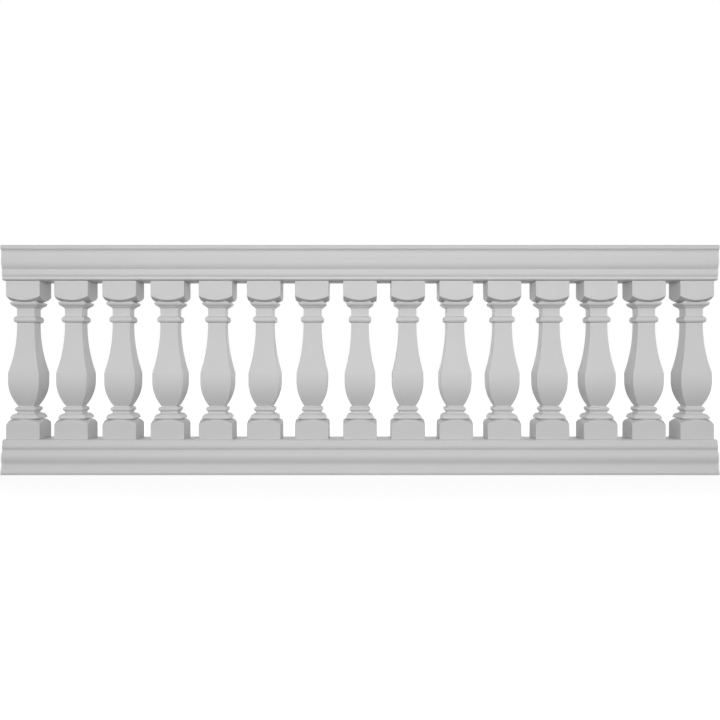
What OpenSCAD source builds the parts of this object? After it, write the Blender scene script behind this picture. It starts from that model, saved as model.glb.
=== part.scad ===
// Classical balustrade bay: moulded fibreglass rails and fifteen square-plan balusters.
// Frame: origin at the centre of the base, +X along the rails, +Y to the back, +Z up. Millimetres.

/* [Row] */
// Number of balusters in the bay
baluster_count = 15; // [3:1:21]
// Distance between neighbouring baluster axes
baluster_pitch = 193; // [150:1:260]
// Length of rail that runs past the last baluster's block
rail_overhang = 8.5; // [4:0.5:60]

/* [Heights] */
// Overall height, from the deck to the top of the handrail
guard_h = 914; // [760:1:1100]
// Height of the bottom rail
bottom_rail_h = 139; // [112:1:170]
// Height of the top rail
top_rail_h = 139; // [112:1:170]

/* [Rails] */
// Depth over the nosing of the top rail
nosing_d = 206.8; // [170:0.2:250]
// Depth over the swelling below the nosing
swell_d = 191; // [150:0.5:235]
// Depth over the small ovolo of the top rail
ovolo_d = 175.4; // [150:0.2:200]
// Depth over the lower fascia of the top rail
fascia_d = 166; // [150:0.5:200]
// Depth over the foot of the bottom rail
foot_d = 203.4; // [170:0.2:250]
// Depth over the ogee of the bottom rail
ogee_d = 190; // [150:0.5:235]
// Depth over the upper band of the bottom rail
band_d = 175; // [150:0.5:200]

/* [Baluster] */
// Width of the square blocks at both ends
block_w = 135; // [112:1:148]
// Straight height of the upper block at its corners
cap_block_h = 60.5; // [45:0.5:75]
// Straight height of the plinth block at its corners
plinth_h = 59.5; // [45:0.5:75]
// Width of the capital moulding
capital_w = 111.6; // [92:0.2:130]
// Width of the neck
neck_w = 70.4; // [56:0.2:84]
// Height of the plain neck
neck_h = 28; // [15:0.5:40]
// Width of the bead under the neck
neck_bead_w = 91.2; // [76:0.2:110]
// Width of the belly
belly_w = 123.8; // [100:0.2:135]
// Height of the upright band round the belly
belly_band_h = 33; // [10:0.5:45]
// Radius of the curve under the belly
belly_r = 178; // [150:1:230]
// Width of the waist under the belly
waist_w = 63.6; // [56:0.2:70]
// Width of the bead under the waist
base_bead_w = 84.2; // [74:0.2:100]
// Width of the square torus on the plinth
torus_w = 112; // [92:0.2:130]

/* [Laminate] */
// Thickness of the moulded fibreglass
wall = 4; // [3:0.5:7]
// Thickness of the closing boards and end plates
board_t = 5; // [4:0.5:10]
// Width by which the soffit board laps over the shell's lips
soffit_lap = 8; // [5:0.5:10]

/* [Hidden] */
EPS = 1;
ARC_STEPS = 5;
VASE_STEPS = 12;

rail_l = (baluster_count - 1) * baluster_pitch + block_w + 2 * rail_overhang;
baluster_h = guard_h - bottom_rail_h - top_rail_h;
soffit_z = guard_h - top_rail_h;

// Heights of the mouldings of the top rail, from the top down; the swelling takes what is left
nosing_h = 18;
cove_h = 21;
groove_h = 7;
ovolo_h = 20;
fascia_h = 21;
swell_h = top_rail_h - nosing_h - cove_h - groove_h - ovolo_h - fascia_h;
cove_sink = 3;
groove_sink = 3;
lip_w = 15.5;

// Heights of the mouldings of the bottom rail, from the deck up; the ogee takes what is left
foot_h = 28;
hollow_h = 18;
undercut_h = 8;
band_h = 18;
weathering_h = 17;
ogee_h = bottom_rail_h - foot_h - hollow_h - undercut_h - band_h - weathering_h;
hollow_sink = 3.5;
undercut_sink = 4;
band_step = 3.5;
weathering_w = 16.5;

// Heights of the turned members of the baluster
cap_shoulder_h = 23.5;
capital_h = 27;
neck_bead_h = 30;
base_shoulder_h = 21.3;
torus_h = 24.5;
base_neck_h = 4.5;
base_bead_h = 19.5;
dome_r = 128;
dome_depth = 100;

function baluster_name(i) = str("baluster_", i < 10 ? "0" : "", i);

// Quarter of an ellipse from p to q, pulled towards the corner k; p itself is left out.
function curve(p, k, q, steps = ARC_STEPS) = [
    for (i = [1 : steps])
        let (t = i / steps, u = 1 - t, w = sqrt(0.5) * 2 * u * t)
        (u * u * p + w * k + t * t * q) / (u * u + w + t * t)
];

// Cubic curve from a to d with the pull points b and c; a itself is left out.
function sweep(a, b, c, d, steps) = [
    for (i = [1 : steps])
        let (t = i / steps, u = 1 - t)
        u * u * u * a + 3 * u * u * t * b + 3 * u * t * t * c + t * t * t * d
];

// A half outline and its mirror image, as one closed outline.
function both_sides(half) = concat(
    half,
    [for (i = [len(half) - 1 : -1 : 0]) [-half[i].x, half[i].y]]
);

// ---- rails -------------------------------------------------------------------------------

// Half outline of the top rail, from the soffit up to the top; x is the depth from the middle.
function top_rail_half() =
    let (
        fascia = fascia_d / 2,
        ovolo = ovolo_d / 2,
        swell = swell_d / 2,
        nosing = nosing_d / 2,
        z_top = guard_h,
        z_cove = z_top - nosing_h,
        z_swell = z_cove - cove_h,
        z_groove = z_swell - swell_h,
        z_ovolo = z_groove - groove_h,
        z_fascia = z_ovolo - ovolo_h,
        hollow = swell - cove_sink
    )
    concat(
        [[0, soffit_z], [fascia - lip_w, soffit_z]],
        curve([fascia - lip_w, soffit_z], [fascia, soffit_z], [fascia, soffit_z + 7]),
        [[fascia, z_fascia]],
        curve([fascia + 2, z_fascia], [ovolo, z_fascia], [ovolo, z_fascia + 5]),
        curve([ovolo, z_ovolo - 8], [ovolo, z_ovolo - 1], [ovolo - groove_sink, z_ovolo]),
        [[ovolo - groove_sink, z_groove]],
        curve([ovolo - groove_sink, z_groove], [swell, z_groove], [swell, z_groove + swell_h * 0.35]),
        curve([swell, z_groove + swell_h / 2], [hollow, z_swell - swell_h / 4], [hollow, z_swell]),
        curve([hollow, z_swell], [hollow, z_cove], [nosing - 4.5, z_cove]),
        curve([nosing - 4.5, z_cove], [nosing, z_cove], [nosing, z_cove + 9]),
        curve([nosing, z_cove + 10], [nosing, z_top], [nosing - 9, z_top]),
        [[0, z_top]]
    );

// Half outline of the bottom rail, from the deck up to its top.
function bottom_rail_half() =
    let (
        foot = foot_d / 2,
        ogee = ogee_d / 2,
        band = band_d / 2,
        z_hollow = foot_h,
        z_ogee = z_hollow + hollow_h,
        z_undercut = z_ogee + ogee_h,
        z_band = z_undercut + undercut_h,
        z_step = z_band + band_h,
        z_top = bottom_rail_h,
        top_edge = band - band_step
    )
    concat(
        [[0, 0], [foot - 2, 0], [foot, 4], [foot, 12]],
        curve([foot, 12], [ogee - hollow_sink + 1, 18], [ogee - hollow_sink + 1, z_hollow]),
        [[ogee - hollow_sink, z_hollow + 12]],
        curve([ogee - hollow_sink, z_ogee], [ogee - 1, z_ogee + ogee_h / 6], [ogee, z_ogee + ogee_h * 0.4]),
        curve([ogee, z_ogee + ogee_h / 2], [ogee, z_undercut - 6], [band - undercut_sink, z_undercut]),
        [[band - undercut_sink, z_undercut + 5]],
        curve([band - undercut_sink, z_undercut + 5], [band, z_undercut + 5], [band, z_band]),
        [[band, z_step - 4], [top_edge, z_step], [top_edge, z_top - 7]],
        curve([top_edge, z_top - 7], [top_edge, z_top], [top_edge - weathering_w, z_top]),
        [[0, z_top]]
    );

// Half outline of the space inside the top rail's shell.
function top_rail_inside() =
    let (
        narrow = min(fascia_d, ovolo_d) / 2 - wall,
        wide = swell_d / 2 - cove_sink - wall,
        z_lip = soffit_z + wall,
        z_wide = guard_h - nosing_h - cove_h - swell_h * 0.75
    )
    [
        [0, z_lip],
        [narrow, z_lip],
        [narrow, z_wide],
        [wide, z_wide + 10],
        [wide, guard_h - nosing_h],
        [wide - 4, guard_h - wall],
        [0, guard_h - wall]
    ];

// Half outline of the space inside the bottom rail's shell.
function bottom_rail_inside() =
    let (
        wide = ogee_d / 2 - hollow_sink - wall,
        narrow = band_d / 2 - undercut_sink - wall,
        flat = band_d / 2 - band_step - weathering_w,
        z_narrow = foot_h + hollow_h + ogee_h * 0.7
    )
    [
        [0, 0],
        [wide, 0],
        [wide, z_narrow],
        [narrow, z_narrow + 10],
        [narrow, bottom_rail_h - wall - 3],
        [flat, bottom_rail_h - wall],
        [0, bottom_rail_h - wall]
    ];

// Half outline of the soffit board: a rebated board whose edges lap over the shell's lips.
function soffit_half() =
    let (
        tongue = fascia_d / 2 - lip_w,
        lap = tongue + soffit_lap
    )
    [
        [0, soffit_z],
        [tongue, soffit_z],
        [tongue, soffit_z + wall],
        [lap, soffit_z + wall],
        [lap, soffit_z + wall + board_t],
        [0, soffit_z + wall + board_t]
    ];

// A rail member: a closed outline in the depth and height, run along X between two ends.
module run(outline, x_from, x_to) {
    translate([x_from, 0, 0])
        rotate([90, 0, 90])
            linear_extrude(x_to - x_from)
                polygon(outline);
}

// The space inside the top rail's shell, with the slot between its lips.
module top_rail_space(x_from, x_to, slot_z) {
    slot = fascia_d - 2 * lip_w;
    run(both_sides(top_rail_inside()), x_from, x_to);
    translate([x_from, -slot / 2, slot_z])
        cube([x_to - x_from, slot, soffit_z + 2 * wall - slot_z]);
}

module top_rail() {
    color("gainsboro")
        difference() {
            run(both_sides(top_rail_half()), -rail_l / 2, rail_l / 2);
            top_rail_space(-rail_l / 2 - EPS, rail_l / 2 + EPS, soffit_z - EPS);
        }
}

module top_rail_soffit() {
    color("gainsboro")
        run(both_sides(soffit_half()), -rail_l / 2 + board_t, rail_l / 2 - board_t);
}

// The end plate closes the shell flush with its end; side is -1 for left, 1 for right.
module top_rail_end(side) {
    x_in = side * (rail_l / 2 - board_t);
    x_out = side * rail_l / 2;
    color("gainsboro")
        top_rail_space(min(x_in, x_out), max(x_in, x_out), soffit_z);
}

module bottom_rail() {
    color("gainsboro")
        difference() {
            run(both_sides(bottom_rail_half()), -rail_l / 2, rail_l / 2);
            run(both_sides(bottom_rail_inside()), -rail_l / 2 - EPS, rail_l / 2 + EPS);
            translate([-rail_l / 2 - EPS, -ogee_d / 2 + hollow_sink + wall, -EPS])
                cube([rail_l + 2 * EPS, ogee_d - 2 * (hollow_sink + wall), 2 * EPS]);
        }
}

module bottom_rail_sole() {
    half = ogee_d / 2 - hollow_sink - wall;
    color("gainsboro")
        translate([-rail_l / 2 + board_t, -half, 0])
            cube([rail_l - 2 * board_t, 2 * half, board_t]);
}

module bottom_rail_end(side) {
    x_in = side * (rail_l / 2 - board_t);
    x_out = side * rail_l / 2;
    color("gainsboro")
        run(both_sides(bottom_rail_inside()), min(x_in, x_out), max(x_in, x_out));
}

// ---- baluster ----------------------------------------------------------------------------

// Heights of the members, measured up from the foot of the baluster.
z_torus = plinth_h + base_shoulder_h;
z_base_neck = z_torus + torus_h;
z_base_bead = z_base_neck + base_neck_h;
z_waist = z_base_bead + base_bead_h;
belly_sweep = sqrt(belly_r * belly_r - pow(belly_r - (belly_w - waist_w) / 2, 2));
z_belly = z_waist + belly_sweep;
z_crease = z_belly + belly_band_h;
z_capital = baluster_h - cap_block_h - cap_shoulder_h;
z_neck = z_capital - capital_h;
z_neck_bead = z_neck - neck_h;
z_taper = z_neck_bead - neck_bead_h;

// The vase, from the waist up to the foot of the neck bead.
function vase_half() =
    let (taper = z_taper - z_crease)
    concat(
        [
            for (i = [0 : VASE_STEPS])
                let (t = belly_sweep * (1 - i / VASE_STEPS))
                [belly_w / 2 - belly_r + sqrt(belly_r * belly_r - t * t), z_belly - t]
        ],
        sweep(
            [belly_w / 2, z_crease],
            [belly_w / 2 - 17, z_crease + taper * 0.31],
            [neck_w / 2, z_crease + taper * 0.5],
            [neck_w / 2, z_taper],
            VASE_STEPS
        )
    );

// Half outline of everything between the two blocks, sunk a little into both.
function turned_half() =
    let (
        neck = neck_w / 2,
        torus = torus_w / 2,
        base_bead = base_bead_w / 2,
        neck_bead = neck_bead_w / 2,
        capital = capital_w / 2,
        z_bead_mid = z_base_bead + base_bead_h * 0.62,
        z_sunk = z_capital + cap_shoulder_h,
        z_neck_bead_mid = z_neck_bead - neck_bead_h / 2
    )
    concat(
        [[0, plinth_h], [neck, plinth_h], [neck, z_torus], [torus - 2, z_torus], [torus, z_torus + 2]],
        curve([torus, z_torus + 5], [torus, z_base_neck - 4], [neck, z_base_neck], 6),
        [[neck, z_base_bead]],
        curve([neck, z_base_bead], [base_bead, z_base_bead], [base_bead, z_bead_mid]),
        curve([base_bead, z_bead_mid], [base_bead, z_waist], [waist_w / 2, z_waist]),
        vase_half(),
        curve([neck, z_taper], [neck_bead, z_taper], [neck_bead, z_neck_bead_mid]),
        curve([neck_bead, z_neck_bead_mid], [neck_bead, z_neck_bead], [neck, z_neck_bead]),
        [[neck, z_neck]],
        curve([neck, z_neck], [neck + 1, z_neck + 8], [neck + 8, z_neck + 9]),
        [[neck + 10, z_neck + 11]],
        curve([neck + 10, z_neck + 11], [capital, z_neck + 13], [capital, z_capital - 3], 6),
        [[capital - 4, z_capital], [neck, z_capital], [neck, z_sunk], [0, z_sunk]]
    );

// One outline seen both from the front and from the side: square in plan at every height.
module square_turned(half) {
    reach = 2 * max(block_w, belly_w);
    intersection() {
        rotate([90, 0, 0])
            linear_extrude(reach, center = true)
                polygon(both_sides(half));
        rotate([90, 0, 90])
            linear_extrude(reach, center = true)
                polygon(both_sides(half));
    }
}

// A square block whose inner end is turned to a shallow dome, which leaves an arched edge
// on each face. It stands on z = 0 with the turned end up.
module block(straight_h, dome_h) {
    corner = block_w / sqrt(2);
    axis_r = corner - sqrt(dome_r * dome_r - dome_depth * dome_depth);
    flat_r = axis_r + sqrt(dome_r * dome_r - pow(dome_depth + dome_h, 2));
    low_r = corner + 6;
    centre_z = straight_h - dome_depth;
    intersection() {
        translate([-block_w / 2, -block_w / 2, 0])
            cube([block_w, block_w, straight_h + dome_h]);
        rotate_extrude()
            polygon(concat(
                [[0, -EPS], [low_r, -EPS]],
                [
                    for (i = [0 : 6])
                        let (r = low_r + (flat_r - low_r) * i / 6)
                        [r, centre_z + sqrt(dome_r * dome_r - pow(r - axis_r, 2))]
                ],
                [[0, straight_h + dome_h]]
            ));
    }
}

module baluster(i) {
    x = (i - (baluster_count + 1) / 2) * baluster_pitch;
    color("gainsboro")
        translate([x, 0, bottom_rail_h])
            union() {
                block(plinth_h, base_shoulder_h);
                square_turned(turned_half());
                translate([0, 0, baluster_h])
                    mirror([0, 0, 1])
                        block(cap_block_h, cap_shoulder_h);
            }
}

for (i = [1 : baluster_count])
    baluster(i);
top_rail();
top_rail_soffit();
top_rail_end(-1);  // top_rail_end_left
top_rail_end(1);  // top_rail_end_right
bottom_rail();
bottom_rail_sole();
bottom_rail_end(-1);  // bottom_rail_end_left
bottom_rail_end(1);  // bottom_rail_end_right
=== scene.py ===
"""Looks of a moulded fiberglass balustrade bay: gelcoat balusters between two moulded rails.

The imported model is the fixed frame. Each piece is built around it in the same place, from the
frame's boxes and from the sizes of its mouldings in millimetres, and rides on the frame's body.
"""

import logging
import math
from dataclasses import dataclass
from enum import Enum
from functools import cache
from typing import Any

import bpy
import numpy as np
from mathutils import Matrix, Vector


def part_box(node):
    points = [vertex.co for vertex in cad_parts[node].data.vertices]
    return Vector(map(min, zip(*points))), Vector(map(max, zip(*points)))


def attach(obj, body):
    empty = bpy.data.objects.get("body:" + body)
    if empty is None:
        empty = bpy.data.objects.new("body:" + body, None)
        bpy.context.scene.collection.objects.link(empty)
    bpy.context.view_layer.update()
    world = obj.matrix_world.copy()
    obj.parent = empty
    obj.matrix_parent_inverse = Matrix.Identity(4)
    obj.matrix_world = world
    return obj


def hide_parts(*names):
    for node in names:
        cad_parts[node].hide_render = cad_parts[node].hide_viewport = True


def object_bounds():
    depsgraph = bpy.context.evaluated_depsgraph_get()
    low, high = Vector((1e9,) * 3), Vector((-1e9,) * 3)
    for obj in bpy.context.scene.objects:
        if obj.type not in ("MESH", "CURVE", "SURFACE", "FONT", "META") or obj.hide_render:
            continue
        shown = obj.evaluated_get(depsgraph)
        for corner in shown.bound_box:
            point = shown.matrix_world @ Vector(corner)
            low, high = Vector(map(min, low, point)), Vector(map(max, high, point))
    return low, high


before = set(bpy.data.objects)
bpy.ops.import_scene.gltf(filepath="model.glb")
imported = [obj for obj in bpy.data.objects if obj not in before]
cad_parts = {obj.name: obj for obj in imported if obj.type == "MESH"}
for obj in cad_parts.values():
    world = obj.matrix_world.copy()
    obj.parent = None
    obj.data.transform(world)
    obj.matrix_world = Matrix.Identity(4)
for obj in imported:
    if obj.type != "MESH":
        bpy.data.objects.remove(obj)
CAD_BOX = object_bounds()

LOG = logging.getLogger("balustrade")
MM = 0.001
SEAT_HALF = 44.0  # half-width, in mm, where the blocks meet the turned members
BODY = "root"
BALUSTER_NODES = sorted(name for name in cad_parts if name.startswith("baluster_"))

Point = tuple[float, float]
Colour = tuple[float, float, float]


def node_box(node: str) -> tuple[Vector, Vector]:
    """A frame node's lowest and highest corner, in millimetres."""
    low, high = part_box(node)
    return low / MM, high / MM


# ---- outlines ----------------------------------------------------------------------------


class Pen:
    """Draws the outline of a moulding member by member, in millimetres."""

    def __init__(self, u: float, z: float) -> None:
        """Starts the outline at half-width or depth u and height z."""
        self.points = [np.array((u, z))]

    def line(self, *corners: Point) -> "Pen":
        """Runs straight from corner to corner."""
        self.points += [np.array(corner) for corner in corners]
        return self

    def quarter(self, pull: Point, end: Point, steps: int = 6) -> "Pen":
        """Runs along a quarter of an ellipse.

        Args:
            pull: the corner that the curve is drawn towards.
            end: where the curve ends.
            steps: how many straight stretches stand for the curve.

        Returns:
            The pen itself.
        """
        start = self.points[-1]
        for t in np.arange(1, steps + 1) / steps:
            weight = math.sqrt(2.0) * (1.0 - t) * t
            total = (1.0 - t) ** 2 + weight + t**2
            along = (1.0 - t) ** 2 * start + weight * np.array(pull) + t**2 * np.array(end)
            self.points.append(along / total)
        return self

    def sweep(self, leave: Point, arrive: Point, end: Point, steps: int = 8) -> "Pen":
        """Runs along a cubic curve.

        Args:
            leave: the point that the curve leaves towards.
            arrive: the point that the curve arrives from.
            end: where the curve ends.
            steps: how many straight stretches stand for the curve.

        Returns:
            The pen itself.
        """
        start = self.points[-1]
        for t in np.arange(1, steps + 1) / steps:
            first = (1.0 - t) ** 3 * start + 3.0 * (1.0 - t) ** 2 * t * np.array(leave)
            last = 3.0 * (1.0 - t) * t**2 * np.array(arrive) + t**3 * np.array(end)
            self.points.append(first + last)
        return self

    def round(self, centre: Point, end: Point, steps: int = 12) -> "Pen":
        """Runs along a circular arc.

        Args:
            centre: the centre of the arc.
            end: where the arc ends.
            steps: how many straight stretches stand for the arc.

        Returns:
            The pen itself.
        """
        start = self.points[-1] - np.array(centre)
        finish = np.array(end) - np.array(centre)
        radius = float(np.hypot(*start))
        angles = np.linspace(math.atan2(start[1], start[0]), math.atan2(finish[1], finish[0]), steps + 1)
        for angle in angles[1:]:
            self.points.append(np.array(centre) + radius * np.array((math.cos(angle), math.sin(angle))))
        return self

    def softened(self, radius: float, least_turn: float = 16.0, support: float = 0.6) -> np.ndarray:
        """The outline with its corners rounded as a mould rounds them.

        Args:
            radius: radius of the rounding.
            least_turn: corners that turn by fewer degrees are left as they are.
            support: how far past the rounding the points lie that keep the flats flat.

        Returns:
            The points, one row each.
        """
        soft = [self.points[0]]
        for before, at, after in zip(self.points, self.points[1:], self.points[2:]):
            soft += rounded_corner(before, at, after, radius, math.radians(least_turn), support)
        soft.append(self.points[-1])
        return np.array(soft)


def rounded_corner(
    before: np.ndarray, at: np.ndarray, after: np.ndarray, radius: float, least: float, support: float
) -> list[np.ndarray]:
    """One corner of an outline, rounded.

    Args:
        before: the point before the corner.
        at: the corner.
        after: the point after the corner.
        radius: radius of the rounding.
        least: corners that turn by a smaller angle, in radians, stay as they are.
        support: how far past the rounding the points lie that keep the flats flat.

    Returns:
        The points that stand for the corner.
    """
    long_in = float(np.hypot(*(at - before)))
    long_out = float(np.hypot(*(after - at)))
    way_in = (at - before) / long_in
    way_out = (after - at) / long_out
    turn = math.acos(max(-1.0, min(1.0, float(way_in @ way_out))))
    if turn < least:
        return [at]
    reach = min(radius * math.tan(min(turn, 2.6) / 2.0), 0.4 * long_in, 0.4 * long_out)
    start = at - way_in * reach
    end = at + way_out * reach
    points = []
    if long_in * 0.5 > reach + support:
        points.append(start - way_in * support)
    for t in (0.0, 0.33, 0.67, 1.0):
        points.append((1.0 - t) ** 2 * start + 2.0 * (1.0 - t) * t * at + t**2 * end)
    if long_out * 0.5 > reach + support:
        points.append(end + way_out * support)
    return points


def both_sides(half: np.ndarray) -> np.ndarray:
    """A half outline followed by its mirror image on the other side."""
    return np.concatenate([half, half[::-1] * np.array((-1.0, 1.0))])


# ---- meshes ------------------------------------------------------------------------------


def closed_skin(name: str, rings: list[np.ndarray]) -> bpy.types.Object:
    """Skins a stack of equal rings and closes both ends.

    Args:
        name: the piece's name.
        rings: the rings, each with one row a point, in millimetres.

    Returns:
        The new piece, with smooth sides and flat ends.
    """
    count = len(rings[0])
    points = np.concatenate(rings) * MM
    here = np.arange(count)
    onward = np.roll(here, -1)
    faces = []
    for level in range(len(rings) - 1):
        low = level * count
        high = low + count
        faces += np.stack([low + here, low + onward, high + onward, high + here], axis=1).tolist()
    faces.append(here[::-1].tolist())
    faces.append((here + (len(rings) - 1) * count).tolist())
    mesh = bpy.data.meshes.new(name)
    mesh.from_pydata(points.tolist(), [], faces)
    smooth = [True] * (len(faces) - 2) + [False, False]
    mesh.polygons.foreach_set("use_smooth", smooth)
    mesh.update()
    piece = bpy.data.objects.new(name, mesh)
    bpy.context.scene.collection.objects.link(piece)
    return piece


@dataclass(frozen=True)
class SquarePlan:
    """The plan that every member of a baluster shares: a square with softened mitres.

    Sizes are in millimetres.
    """

    edge: float = 1.6
    flat_share: float = 0.965
    side_steps: int = 12
    corner_steps: int = 3

    def ring(self, half: float) -> np.ndarray:
        """The plan's points at one half-width, anticlockwise."""
        edge = min(self.edge, half * 0.3)
        flat = half - edge
        inner = np.linspace(-1.0, 1.0, self.side_steps + 1)[1:-1]
        along = np.concatenate([[-1.0, -self.flat_share], inner, [self.flat_share]]) * flat
        turns = np.linspace(0.0, math.pi / 2.0, self.corner_steps + 1)[:-1]
        side = np.stack([np.full_like(along, half), along], axis=1)
        corner = np.stack([flat + edge * np.cos(turns), flat + edge * np.sin(turns)], axis=1)
        quarter = np.concatenate([side, corner])
        plan = []
        for turn in range(4):
            angle = turn * math.pi / 2.0
            spin = np.array(((math.cos(angle), math.sin(angle)), (-math.sin(angle), math.cos(angle))))
            plan.append(quarter @ spin)
        return np.concatenate(plan)

    def level(self, half: float, height: float) -> np.ndarray:
        """A ring that lies level at one height."""
        plan = self.ring(half)
        return np.column_stack([plan, np.full(len(plan), height)])


@dataclass(frozen=True)
class Block:
    """A square block whose inner end is turned to a shallow dome, standing on height 0.

    Sizes are in millimetres.
    """

    half: float
    straight: float
    rise: float
    turned_radius: float = 128.0
    turned_depth: float = 100.0
    fillet: float = 1.7
    seat: float = SEAT_HALF

    def dome(self, reach: np.ndarray) -> np.ndarray:
        """Height of the dome at a distance from the baluster's axis."""
        corner = self.half * math.sqrt(2.0)
        centre = corner - math.sqrt(self.turned_radius**2 - self.turned_depth**2)
        swept = np.sqrt(self.turned_radius**2 - (reach - centre) ** 2)
        return np.minimum(self.straight - self.turned_depth + swept, self.straight + self.rise)

    def rings(self, plan: SquarePlan) -> list[np.ndarray]:
        """The block's rings, from its flat end up over the dome to the turned members.

        Args:
            plan: the plan that the rings follow.

        Returns:
            The rings, lowest first.
        """
        foot = [plan.level(self.half - 0.8, 0.0), plan.level(self.half - 0.2, 0.2)]
        foot += [plan.level(self.half, 0.8), plan.level(self.half, 2.0)]
        arris = ((0.0, 1.6), (0.0, 1.0), (0.3, 0.3), (1.0, 0.05), (1.7, 0.0))
        edge = [self.domed(plan, self.half - self.fillet * back, self.fillet * sink) for back, sink in arris]
        top = np.linspace(self.half - 2.0 * self.fillet, self.seat, 8)
        return foot + edge + [self.domed(plan, half, 0.0) for half in top]

    def domed(self, plan: SquarePlan, half: float, sink: float) -> np.ndarray:
        """A ring that follows the dome, sunk below it by a little."""
        points = plan.ring(half)
        return np.column_stack([points, self.dome(np.hypot(*points.T)) - sink])


# ---- finishes ----------------------------------------------------------------------------


class Val:
    """A shader socket's value that takes part in Python arithmetic."""

    def __init__(self, sheet: "NodeSheet", socket: Any) -> None:
        """Keeps the sheet that new Math nodes go on and the socket that carries the value."""
        self.sheet = sheet
        self.socket = socket

    def math(self, operation: str, *others: Any) -> "Val":
        """This value and others, put through a Math node."""
        sockets = dict(enumerate((self, *others)))
        return self.sheet.add("ShaderNodeMath", {"operation": operation}, sockets)

    def __add__(self, other: Any) -> "Val":
        """Sum with a value or number."""
        return self.math("ADD", other)

    __radd__ = __add__

    def __mul__(self, other: Any) -> "Val":
        """Product with a value or number."""
        return self.math("MULTIPLY", other)

    __rmul__ = __mul__

    def __sub__(self, other: Any) -> "Val":
        """Difference from a value or number."""
        return self.math("SUBTRACT", other)

    def __rsub__(self, other: Any) -> "Val":
        """A number less this value."""
        return self.sheet.add("ShaderNodeMath", {"operation": "SUBTRACT"}, {0: other, 1: self})

    def __truediv__(self, other: Any) -> "Val":
        """Quotient by a value or number."""
        return self.math("DIVIDE", other)

    def __abs__(self) -> "Val":
        """Size without sign."""
        return self.math("ABSOLUTE")

    def ramp(self, low: float, high: float) -> "Val":
        """A smooth rise from 0 at low to 1 at high, or a fall where low is the greater."""
        settings = {"interpolation_type": "SMOOTHSTEP"}
        sockets = {"Value": self, "From Min": low, "From Max": high}
        return self.sheet.add("ShaderNodeMapRange", settings, sockets)


class NodeSheet:
    """The node tree of one material or world, filled node by node."""

    def __init__(self, owner: bpy.types.Material | bpy.types.World) -> None:
        """Clears the owner's node tree for use."""
        owner.use_nodes = True
        self.tree = owner.node_tree
        self.tree.nodes.clear()

    def add(self, kind: str, settings: dict[str, Any], sockets: dict[Any, Any], output: Any = 0) -> Val:
        """Adds a node.

        Args:
            kind: the node's type.
            settings: the node's own settings, set before its sockets.
            sockets: a number, vector, colour or value for each input, by name or place.
            output: the output that is wanted, by name or place.

        Returns:
            The value at that output.
        """
        node = self.tree.nodes.new(kind)
        for name, value in settings.items():
            setattr(node, name, value)
        for key, value in sockets.items():
            if isinstance(value, Val):
                self.tree.links.new(value.socket, node.inputs[key])
            else:
                node.inputs[key].default_value = value
        return Val(self, node.outputs[output]) if len(node.outputs) else Val(self, None)

    def noise(self, place: Val, scale: float, detail: float = 2.0) -> Val:
        """Soft noise between 0 and 1, with so many waves to the metre."""
        sockets = {"Vector": place, "Scale": scale, "Detail": detail, "Roughness": 0.5}
        return self.add("ShaderNodeTexNoise", {"noise_dimensions": "3D"}, sockets)

    def stretched(self, place: Val, factors: Colour) -> Val:
        """The place with each of its coordinates multiplied by a factor."""
        return self.add("ShaderNodeVectorMath", {"operation": "MULTIPLY"}, {0: place, 1: factors})

    def surface(self, shader: Val) -> None:
        """Makes the shader the material's surface."""
        self.add("ShaderNodeOutputMaterial", {}, {"Surface": shader})


class Lay(Enum):
    """How a piece was made, which decides the marks in its gelcoat."""

    SQUARE_MOULD = "baluster from a two-part mould"
    LONG_MOULD = "rail from a long mould"
    ROLLED_BOARD = "flat board, rolled by hand"


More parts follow.
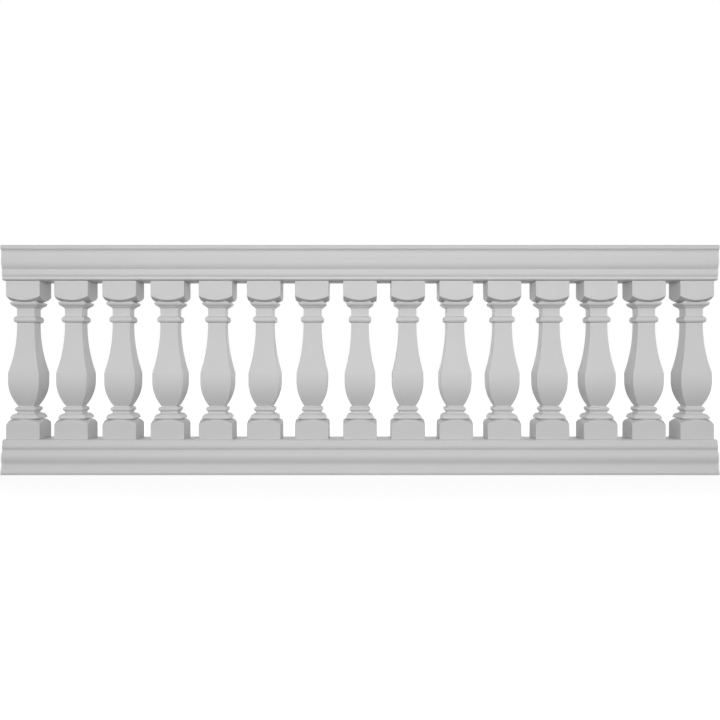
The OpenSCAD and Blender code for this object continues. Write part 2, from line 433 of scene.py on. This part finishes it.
@dataclass(frozen=True)
class Gelcoat:
    """Satin gelcoat over glass laminate. Heights of its relief are in millimetres, pitches in metres."""

    name: str
    lay: Lay
    tone: Colour
    mottle: float = 0.012
    roughness: float = 0.5
    peel: float = 0.012
    waviness: float = 0.1
    print_through: float = 0.004
    seam: float = 0.09
    pitch: float = 0.193
    tow_pitch: float = 0.005
    cloth_drift: float = 0.004
    pit_tone: float = 0.55
    pit_depth: float = 0.12
    drawn_depth: float = 0.02
    rolled_depth: float = 0.12

    @cache
    def material(self) -> bpy.types.Material:
        """The finish as a material, made once.

        Returns:
            The material.
        """
        made = bpy.data.materials.new(f"{self.name}_finish")
        sheet = NodeSheet(made)
        place = sheet.add("ShaderNodeTexCoord", {}, {}, "Object")
        pits = self.pits(sheet, place)
        bump = {"Height": self.relief(sheet, place, pits), "Strength": 1.0, "Distance": MM}
        sockets = {
            "Base Color": self.colour(sheet, place, pits),
            "Roughness": self.gloss(sheet, place, pits),
            "Normal": sheet.add("ShaderNodeBump", {}, bump),
            "IOR": 1.47,
        }
        sheet.surface(sheet.add("ShaderNodeBsdfPrincipled", {}, sockets))
        return made

    def pits(self, sheet: NodeSheet, place: Val) -> Val:
        """Sparse pinholes in the gelcoat: 1 in a pinhole, 0 elsewhere."""
        cells = {"Vector": place, "Scale": 60.0, "Randomness": 1.0}
        distance = sheet.add("ShaderNodeTexVoronoi", {"feature": "F1"}, cells, "Distance")
        lot = sheet.noise(place, 9.0).ramp(0.6, 0.66)
        return distance.ramp(0.035, 0.015) * lot

    def colour(self, sheet: NodeSheet, place: Val, pits: Val) -> Val:
        """Base colour: cloudy pigment, a tone for each casting and darker pinholes.

        Args:
            sheet: the node tree.
            place: the point on the piece.
            pits: the mask of pinholes.

        Returns:
            The colour.
        """
        cloud = sheet.noise(place, 5.0, 3.0) + sheet.noise(place, 38.0, 4.0) * 0.5 - 0.25
        if self.lay is Lay.SQUARE_MOULD:
            cloud = cloud + (self.casting(sheet, place) - 0.5) * 0.5
        if self.lay is Lay.LONG_MOULD:
            cloud = cloud + (sheet.noise(sheet.stretched(place, (3.0, 90.0, 90.0)), 1.0, 3.0) - 0.5) * 0.5
        pale = tuple(channel * (1.0 + self.mottle) for channel in self.tone)
        deep = tuple(channel * (1.0 - self.mottle) for channel in self.tone)
        factor = cloud.ramp(0.1, 0.9)
        settings = {"data_type": "RGBA", "blend_type": "MIX"}
        mixed = sheet.add("ShaderNodeMix", settings, {0: factor, 6: (*deep, 1.0), 7: (*pale, 1.0)}, 2)
        pit_colour = tuple(channel * self.pit_tone for channel in self.tone)
        return sheet.add("ShaderNodeMix", settings, {0: pits, 6: mixed, 7: (*pit_colour, 1.0)}, 2)

    def casting(self, sheet: NodeSheet, place: Val) -> Val:
        """A number between 0 and 1 that is the same all over one baluster."""
        across = sheet.add("ShaderNodeSeparateXYZ", {}, {"Vector": place}, "X")
        number = (across / self.pitch + 0.5).math("FLOOR")
        return sheet.add("ShaderNodeTexWhiteNoise", {"noise_dimensions": "1D"}, {"W": number}, "Value")

    def gloss(self, sheet: NodeSheet, place: Val, pits: Val) -> Val:
        """Roughness: duller patches where the mould release built up, and dull pinholes."""
        patches = sheet.noise(place, 14.0, 5.0) - 0.5
        fine = sheet.noise(place, 240.0, 2.0) - 0.5
        return patches * 0.16 + fine * 0.08 + self.roughness + pits * 0.3

    def relief(self, sheet: NodeSheet, place: Val, pits: Val) -> Val:
        """Relief in millimetres: peel, slow waviness, glass cloth, pinholes and mould marks.

        Args:
            sheet: the node tree.
            place: the point on the piece.
            pits: the mask of pinholes.

        Returns:
            The height.
        """
        height = sheet.noise(place, 330.0, 1.0) * self.peel + sheet.noise(place, 17.0, 1.0) * self.waviness
        height = height + self.cloth(sheet, place) * self.print_through - pits * self.pit_depth
        if self.lay is Lay.SQUARE_MOULD:
            height = height + self.parting_line(sheet, place) * self.seam
        if self.lay is Lay.LONG_MOULD:
            drawn = sheet.noise(sheet.stretched(place, (2.0, 260.0, 260.0)), 1.0, 2.0)
            height = height + drawn * self.drawn_depth
        if self.lay is Lay.ROLLED_BOARD:
            rolled = sheet.noise(sheet.stretched(place, (70.0, 200.0, 200.0)), 1.0, 3.0)
            height = height + rolled * self.rolled_depth
        return height

    def cloth(self, sheet: NodeSheet, place: Val) -> Val:
        """Glass cloth that prints through from the laminate: crossed tows 5 mm apart."""
        drift = sheet.noise(place, 6.0, 1.0) * self.cloth_drift
        shifted = sheet.add("ShaderNodeVectorMath", {"operation": "ADD"}, {0: place, 1: drift})
        part = [sheet.add("ShaderNodeSeparateXYZ", {}, {"Vector": shifted}, axis) for axis in "XYZ"]
        tow = 2.0 * math.pi / self.tow_pitch
        warp = ((part[0] + part[1]) * tow).math("SINE")
        weft = (part[2] * tow).math("SINE")
        return warp * weft

    def parting_line(self, sheet: NodeSheet, place: Val) -> Val:
        """The dressed flash line down the middle of the faces that look along the rails."""
        depth = sheet.add("ShaderNodeSeparateXYZ", {}, {"Vector": place}, "Y")
        normal = sheet.add("ShaderNodeNewGeometry", {}, {}, "Normal")
        sideways = abs(sheet.add("ShaderNodeSeparateXYZ", {}, {"Vector": normal}, "X"))
        wander = (sheet.noise(place, 20.0, 1.0) - 0.5) * 0.0006
        return abs(depth + wander).ramp(0.0007, 0.0001) * sideways.ramp(0.5, 0.8)


PALE_GREY = (0.612, 0.612, 0.612)
BOARD_GREY = (0.59, 0.59, 0.588)
BALUSTER_FINISH = Gelcoat("baluster_gelcoat", Lay.SQUARE_MOULD, PALE_GREY)
RAIL_FINISH = Gelcoat("rail_gelcoat", Lay.LONG_MOULD, PALE_GREY, mottle=0.01)
BOARD_FINISH = Gelcoat("closing_board", Lay.ROLLED_BOARD, BOARD_GREY, mottle=0.02, roughness=0.56)
PLATE_FINISH = Gelcoat("end_plate", Lay.ROLLED_BOARD, PALE_GREY, mottle=0.016, waviness=0.16)


def dress(piece: bpy.types.Object, finish: Gelcoat, *nodes: str) -> bpy.types.Object:
    """Gives a piece its finish, hides the frame nodes that it stands for and hangs it on the frame's body.

    Args:
        piece: the piece.
        finish: its finish, which goes into the piece's material slot.
        nodes: the frame nodes that it stands for.

    Returns:
        The piece.
    """
    piece.data.materials.append(finish.material())
    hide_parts(*nodes)
    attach(piece, BODY)
    LOG.info("%s stands for %s", piece.name, ", ".join(nodes))
    return piece


# ---- balusters ---------------------------------------------------------------------------


@dataclass(frozen=True)
class Baluster:
    """One square-plan baluster moulding. Half-widths and heights are in millimetres."""

    node: str
    plan: SquarePlan = SquarePlan()
    softness: float = 1.2
    block_half: float = 67.5
    plinth_straight: float = 59.5
    plinth_rise: float = 21.3
    cap_straight: float = 60.5
    cap_rise: float = 23.5
    torus: float = 56.0
    short_neck: float = 35.1
    base_bead: float = 42.1
    waist: float = 31.8
    belly: float = 61.9
    belly_radius: float = 178.0
    neck: float = 35.3
    neck_bead: float = 45.6
    capital: float = 55.8
    seat_gap: float = 0.3
    vase_foot: float = 132.0

    def build(self) -> bpy.types.Object:
        """Builds the moulding and dresses it.

        Returns:
            The piece.
        """
        low, high = node_box(self.node)
        tall = high.z - low.z
        plinth = Block(self.block_half, self.plinth_straight, self.plinth_rise)
        cap = Block(self.block_half, self.cap_straight, self.cap_rise)
        rings = plinth.rings(self.plan)
        rings += [self.plan.level(half, height) for half, height in self.turned(tall)]
        upright = np.array((1.0, 1.0, -1.0))
        rings += [ring * upright + np.array((0.0, 0.0, tall)) for ring in reversed(cap.rings(self.plan))]
        foot = np.array(((low.x + high.x) / 2.0, (low.y + high.y) / 2.0, low.z))
        piece = closed_skin(self.node.replace("baluster", "baluster_moulding"), [r + foot for r in rings])
        return dress(piece, BALUSTER_FINISH, self.node)

    def turned(self, tall: float) -> np.ndarray:
        """The outline between the two blocks.

        Args:
            tall: height of the whole baluster.

        Returns:
            Rows of half-width and height, from the foot up.
        """
        seat = self.plinth_straight + self.plinth_rise + self.seat_gap
        pen = Pen(SEAT_HALF, seat)
        self.base(pen, seat)
        self.vase(pen, self.vase_foot, tall)
        self.capital_members(pen, tall - self.cap_straight - self.cap_rise)
        return pen.softened(self.softness)

    def base(self, pen: Pen, seat: float) -> None:
        """Draws the torus, the short neck and the bead under the waist."""
        torus_top = seat + 21.0
        pen.line((self.torus - 1.8, seat))
        pen.quarter((self.torus, seat), (self.torus, seat + 2.2), 3)
        pen.quarter((self.torus, torus_top), (self.short_neck + 1.4, torus_top), 9)
        pen.line((self.short_neck, torus_top + 2.0), (self.short_neck, torus_top + 7.3))
        pen.line((self.short_neck + 0.9, torus_top + 8.5))
        pen.quarter((self.base_bead, torus_top + 10.5), (self.base_bead, torus_top + 18.0))
        pen.quarter((self.base_bead, torus_top + 25.2), (self.short_neck + 0.9, torus_top + 25.7))
        pen.line((self.waist, torus_top + 27.2))

    def vase(self, pen: Pen, foot: float, tall: float) -> None:
        """Draws the vase: belly, upright band and the long taper up to the neck bead."""
        middle = foot + 99.0
        crease = middle + 32.6
        top = tall - 169.0
        pen.line((self.waist, foot))
        pen.round((self.belly - self.belly_radius, middle), (self.belly, middle), 16)
        pen.line((self.belly, crease))
        reach = top - crease
        leave = (self.belly - 4.0, crease + reach * 0.098)
        arrive = (self.neck - 0.3, crease + reach * 0.44)
        pen.sweep(leave, arrive, (self.neck - 0.1, top), 22)

    def capital_members(self, pen: Pen, seat: float) -> None:
        """Draws the neck bead, the neck, the fillet and the ovolo under the upper block."""
        bead = seat - 83.0
        pen.line((self.neck - 0.1, bead))
        pen.quarter((self.neck_bead, bead), (self.neck_bead, bead + 11.5), 7)
        pen.line((self.neck_bead, bead + 12.5))
        pen.quarter((self.neck_bead, bead + 26.0), (self.neck, bead + 26.0), 7)
        pen.line((self.neck, seat - 29.0))
        pen.quarter((self.neck + 0.8, seat - 21.4), (self.neck + 8.2, seat - 18.8), 6)
        pen.line((self.neck + 9.2, seat - 18.4), (self.neck + 9.2, seat - 16.2))
        pen.quarter((self.capital, seat - 14.5), (self.capital, seat - 3.0), 7)
        pen.line((self.capital, seat - 2.0), (self.capital - 2.3, seat - 0.6), (SEAT_HALF, seat - 0.6))


# ---- rails -------------------------------------------------------------------------------


@dataclass(frozen=True)
class LongPiece:
    """A piece of one outline along the bay, with its end edges rounded. Millimetres."""

    name: str
    outline: np.ndarray
    x_from: float
    x_to: float
    edge: float = 0.8

    def build(self) -> bpy.types.Object:
        """Builds the piece by running its closed, anticlockwise outline along X.

        Returns:
            The piece.
        """
        inward = inward_normals(self.outline)
        stations = []
        for turn in (0.0, 30.0, 60.0, 90.0):
            angle = math.radians(turn)
            stations.append((self.edge * (1.0 - math.sin(angle)), self.edge * (1.0 - math.cos(angle))))
        rings = [self.ring(self.x_from + back, inward * inset) for inset, back in stations]
        rings.append(self.ring(self.x_from + 2.0 * self.edge, inward * 0.0))
        rings.append(self.ring(self.x_to - 2.0 * self.edge, inward * 0.0))
        rings += [self.ring(self.x_to - back, inward * inset) for inset, back in reversed(stations)]
        return closed_skin(self.name, rings)

    def ring(self, x: float, shift: np.ndarray) -> np.ndarray:
        """The shifted outline at one place along the bay."""
        return np.column_stack([np.full(len(self.outline), x), self.outline + shift])


def inward_normals(outline: np.ndarray) -> np.ndarray:
    """Unit directions that point into a closed, anticlockwise outline at each of its points.

    Args:
        outline: the points, one row each.

    Returns:
        The directions, one row each.
    """
    ahead = np.roll(outline, -1, axis=0) - outline
    ahead = ahead / np.maximum(np.hypot(*ahead.T), 1e-6)[:, None]
    along = ahead + np.roll(ahead, 1, axis=0)
    along = along / np.maximum(np.hypot(*along.T), 1e-6)[:, None]
    return np.column_stack([-along[:, 1], along[:, 0]])


def shell_outline(outside: np.ndarray, inside: np.ndarray) -> np.ndarray:
    """The section of an open shell.

    Args:
        outside: half outline of its outside, from its lip to its crown.
        inside: half outline of its inside, from the same point of its lip to its crown.

    Returns:
        The closed section, anticlockwise.
    """
    return np.concatenate([both_sides(outside), both_sides(inside[1:])[::-1]])


@dataclass(frozen=True)
class EndPlates:
    """The plates that close both ends of a rail's shell. Millimetres."""

    rail: str
    inside: np.ndarray
    half_length: float
    thickness: float = 5.0

    def build(self) -> None:
        """Builds both plates and dresses them."""
        section = both_sides(self.inside)
        for side, word in ((-1.0, "left"), (1.0, "right")):
            ends = sorted((side * self.half_length, side * (self.half_length - self.thickness)))
            plate = LongPiece(f"{self.rail}_plate_{word}", section, ends[0], ends[1], 0.7).build()
            dress(plate, PLATE_FINISH, f"{self.rail}_end_{word}")


@dataclass(frozen=True)
class TopRail:
    """The handrail: moulded shell, soffit board and end plates. Depths in millimetres."""

    lip: float = 67.5
    fascia: float = 83.0
    ovolo: float = 87.6
    groove: float = 84.4
    swell: float = 95.9
    cove: float = 92.6
    nosing: float = 103.3
    wall: float = 4.0
    softness: float = 1.1

    def build(self) -> None:
        """Builds the pieces of the handrail and dresses them."""
        low, high = node_box("top_rail")
        inside = self.inside(low.z, high.z)
        outline = shell_outline(self.outside(low.z, high.z), inside)
        dress(LongPiece("top_rail_shell", outline, low.x, high.x).build(), RAIL_FINISH, "top_rail")
        board_low, board_high = node_box("top_rail_soffit")
        section = both_sides(self.board(board_low.z, board_high.z))
        board = LongPiece("top_rail_soffit_board", section, board_low.x, board_high.x, 0.5)
        dress(board.build(), BOARD_FINISH, "top_rail_soffit")
        EndPlates("top_rail", inside, high.x).build()

    def outside(self, foot: float, crown: float) -> np.ndarray:
        """The moulded face, from the lip under the rail up to the middle of its top.

        Args:
            foot: height of the underside.
            crown: height of the top.

        Returns:
            Rows of depth and height.
        """
        pen = Pen(self.lip, foot)
        pen.quarter((self.fascia - 0.6, foot), (self.fascia - 0.2, foot + 5.0), 5)
        pen.line((self.fascia + 0.3, foot + 15.5))
        pen.quarter((self.ovolo - 0.4, foot + 17.0), (self.ovolo, foot + 28.0), 7)
        pen.quarter((self.ovolo, foot + 40.0), (self.groove, foot + 42.6), 6)
        pen.line((self.groove + 0.3, foot + 44.5))
        swell_top = (self.swell, foot + 77.0)
        cove_foot = (self.cove, foot + 99.0)
        cove_top = (self.nosing - 4.8, foot + 120.8)
        nosing_face = (self.nosing, foot + 131.0)
        pen.sweep((self.groove + 5.0, foot + 50.0), (self.swell - 0.3, foot + 59.0), swell_top, 12)
        pen.sweep((self.swell, foot + 84.0), (self.cove, foot + 88.0), cove_foot, 8)
        pen.sweep((self.cove, foot + 111.0), (self.cove + 0.6, foot + 118.0), cove_top)
        pen.sweep((self.nosing - 2.8, foot + 121.4), (self.nosing, foot + 125.5), nosing_face, 6)
        pen.quarter((self.nosing, crown), (self.nosing - 7.0, crown), 6)
        pen.line((0.0, crown))
        return pen.softened(self.softness)[:-1]

    def inside(self, foot: float, crown: float) -> np.ndarray:
        """Half outline of the space inside the shell, from its lip up, which the end plates fill."""
        narrow = self.fascia - self.wall
        wide = self.swell - 3.4 - self.wall
        pen = Pen(self.lip, foot)
        pen.line((self.lip, foot + self.wall), (narrow, foot + self.wall), (narrow, foot + 61.0))
        pen.line((wide, foot + 71.0), (wide, foot + 121.0), (wide - 4.0, crown - self.wall))
        return np.array(pen.points)

    def board(self, foot: float, top: float) -> np.ndarray:
        """Half outline of the rebated soffit board."""
        lap = self.lip + 8.0
        pen = Pen(self.lip, foot)
        pen.line((self.lip, foot + self.wall), (lap, foot + self.wall), (lap, top))
        return np.array(pen.points)


@dataclass(frozen=True)
class BottomRail:
    """The bottom rail: moulded shell, sole board and end plates. Depths in millimetres."""

    flat: float = 67.5
    band: float = 87.3
    undercut: float = 83.2
    ogee: float = 95.0
    hollow_face: float = 91.0
    foot: float = 101.4
    wall: float = 4.0
    softness: float = 1.1

    def build(self) -> None:
        """Builds the pieces of the bottom rail and dresses them."""
        low, high = node_box("bottom_rail")
        inside = self.inside(low.z, high.z)
        section = shell_outline(self.outside(low.z, high.z), inside)
        dress(LongPiece("bottom_rail_shell", section, low.x, high.x).build(), RAIL_FINISH, "bottom_rail")
        sole_low, sole_high = node_box("bottom_rail_sole")
        edge = sole_high.y
        sole_section = both_sides(np.array(((edge, sole_low.z), (edge, sole_high.z))))
        sole = LongPiece("bottom_rail_sole_board", sole_section, sole_low.x, sole_high.x, 0.5)
        dress(sole.build(), BOARD_FINISH, "bottom_rail_sole")
        EndPlates("bottom_rail", inside, high.x).build()

    def outside(self, deck: float, crown: float) -> np.ndarray:
        """The moulded face, from the deck up to the middle of the rail's top.

        Args:
            deck: height of the underside.
            crown: height of the top.

        Returns:
            Rows of depth and height.
        """
        pen = Pen(87.5, deck)
        pen.line((self.foot - 2.0, deck))
        pen.quarter((self.foot - 0.6, deck), (self.foot - 0.3, deck + 4.0), 3)
        pen.line((self.foot, deck + 9.5))
        flare_top = (self.hollow_face + 1.9, deck + 29.0)
        hollow_middle = (self.hollow_face, deck + 42.0)
        ogee_face = (self.ogee, deck + 66.0)
        ogee_top = (self.undercut + 0.4, deck + 93.5)
        pen.sweep((self.foot - 0.6, deck + 15.0), (self.hollow_face + 2.4, deck + 22.0), flare_top)
        pen.sweep((self.hollow_face + 1.4, deck + 34.0), (self.hollow_face, deck + 37.0), hollow_middle, 5)
        pen.sweep((self.hollow_face, deck + 50.0), (self.ogee, deck + 55.0), ogee_face, 9)
        pen.sweep((self.ogee, deck + 78.0), (self.ogee - 3.0, deck + 88.0), ogee_top, 10)
        pen.line((self.undercut, deck + 96.0), (self.undercut + 0.4, deck + 100.5))
        pen.quarter((self.band - 0.2, deck + 102.0), (self.band, deck + 108.5), 5)
        pen.line((self.band - 0.5, deck + 116.5))
        pen.quarter((84.4, deck + 118.0), (84.2, deck + 124.0), 4)
        pen.line((83.5, deck + 129.0))
        pen.quarter((83.0, crown), (self.flat + 3.0, crown), 7)
        pen.line((0.0, crown))
        return pen.softened(self.softness)[:-1]

    def inside(self, deck: float, crown: float) -> np.ndarray:
        """Half outline of the space inside the shell."""
        wide = self.ogee - 3.5 - self.wall
        narrow = self.undercut + 0.3 - self.wall
        pen = Pen(wide, deck)
        pen.line((wide, deck + 81.0), (narrow, deck + 91.0), (narrow, crown - 7.0))
        pen.line((self.flat, crown - self.wall))
        return np.array(pen.points)


# ---- studio ------------------------------------------------------------------------------


@dataclass(frozen=True)
class Softbox:
    """A flat studio lamp. Lengths in metres, power in watts."""

    name: str
    place: Colour
    width: float
    height: float
    power: float

    def build(self, target: Vector) -> None:
        """Hangs the lamp and aims it at a point."""
        light = bpy.data.lights.new(self.name, "AREA")
        light.shape = "RECTANGLE"
        light.size = self.width
        light.size_y = self.height
        light.energy = self.power
        lamp = bpy.data.objects.new(self.name, light)
        lamp.location = self.place
        lamp.rotation_euler = (target - Vector(self.place)).to_track_quat("-Z", "Y").to_euler()
        lamp.visible_camera = False
        bpy.context.scene.collection.objects.link(lamp)


@dataclass(frozen=True)
class Studio:
    """Pale floor, soft light and the camera. Lengths in metres."""

    camera_distance: float = 3.617
    lens: float = 44.3
    ambient: float = 0.46
    zenith_loss: float = 0.6
    floor_tone: float = 0.2
    near_glow: float = 0.84
    glow_from: float = 0.6
    glow_reach: float = 1.5
    glow_squeeze: Colour = (0.42, 1.0, 1.0)
    floor_size: float = 60.0
    front: Softbox = Softbox("front_softbox", (0.0, -2.2, 1.05), 6.0, 0.6, 61.0)
    back: Softbox = Softbox("back_softbox", (0.0, 3.0, 0.55), 6.0, 0.9, 24.0)

    def build(self, low: Vector, high: Vector) -> None:
        """Sets up camera, lamps, world and floor around the object's box."""
        centre = (low + high) / 2.0
        self.camera(centre)
        self.front.build(centre)
        self.back.build(centre)
        self.world()
        self.floor(low.z)
        bpy.context.scene.view_settings.view_transform = "Standard"

    def camera(self, centre: Vector) -> None:
        """Stands the camera square in front of the bay, at half its height."""
        data = bpy.data.cameras.new("camera")
        data.lens = self.lens
        data.sensor_width = 36.0
        camera = bpy.data.objects.new("camera", data)
        camera.location = (centre.x, -self.camera_distance, centre.z)
        camera.rotation_euler = (math.pi / 2.0, 0.0, 0.0)
        bpy.context.scene.collection.objects.link(camera)
        bpy.context.scene.camera = camera

    def shown(self, sheet: NodeSheet) -> Val:
        """1 for rays that show the background, straight or in a reflection, else 0."""
        camera = sheet.add("ShaderNodeLightPath", {}, {}, "Is Camera Ray")
        glossy = sheet.add("ShaderNodeLightPath", {}, {}, "Is Glossy Ray")
        through = sheet.add("ShaderNodeLightPath", {}, {}, "Is Transmission Ray")
        return (camera + glossy + through).math("MINIMUM", 1.0)

    def world(self) -> None:
        """White surroundings where they show, and a weaker ambient light."""
        world = bpy.data.worlds.new("surroundings")
        bpy.context.scene.world = world
        sheet = NodeSheet(world)
        shown = self.shown(sheet)
        direction = sheet.add("ShaderNodeTexCoord", {}, {}, "Generated")
        steepness = abs(sheet.add("ShaderNodeSeparateXYZ", {}, {"Vector": direction}, "Z"))
        strength = shown + (1.0 - shown) * (1.0 - steepness * self.zenith_loss) * self.ambient
        white = {"Color": (1.0, 1.0, 1.0, 1.0), "Strength": strength}
        sky = sheet.add("ShaderNodeBackground", {}, white)
        sheet.add("ShaderNodeOutputWorld", {}, {"Surface": sky})

    def floor(self, height: float) -> None:
        """A plain pale floor that keeps the object's shadow and fades into the white."""
        half = self.floor_size / 2.0
        corners = [(-half, -half, height), (half, -half, height), (half, half, height), (-half, half, height)]
        mesh = bpy.data.meshes.new("floor")
        mesh.from_pydata(corners, [], [(0, 1, 2, 3)])
        material = bpy.data.materials.new("floor")
        sheet = NodeSheet(material)
        tone = (self.floor_tone, self.floor_tone, self.floor_tone, 1.0)
        matt = sheet.add("ShaderNodeBsdfDiffuse", {}, {"Color": tone})
        place = sheet.add("ShaderNodeTexCoord", {}, {}, "Object")
        oval = sheet.stretched(place, self.glow_squeeze)
        away = sheet.add("ShaderNodeVectorMath", {"operation": "LENGTH"}, {0: oval}, "Value")
        strength = self.near_glow + away.ramp(self.glow_from, self.glow_reach) * (1.0 - self.near_glow)
        glow = sheet.add("ShaderNodeEmission", {}, {"Strength": self.shown(sheet) * strength})
        sheet.surface(sheet.add("ShaderNodeAddShader", {}, {0: matt, 1: glow}))
        mesh.materials.append(material)
        floor = bpy.data.objects.new("floor", mesh)
        bpy.context.scene.collection.objects.link(floor)


def main() -> None:
    """Builds the balustrade from the bottom rail up, then the studio around it."""
    logging.basicConfig(level=logging.INFO, format="%(name)s: %(message)s")
    BottomRail().build()
    for node in BALUSTER_NODES:
        Baluster(node).build()
    TopRail().build()
    Studio().build(*CAD_BOX)


if __name__ == "__main__":
    main()
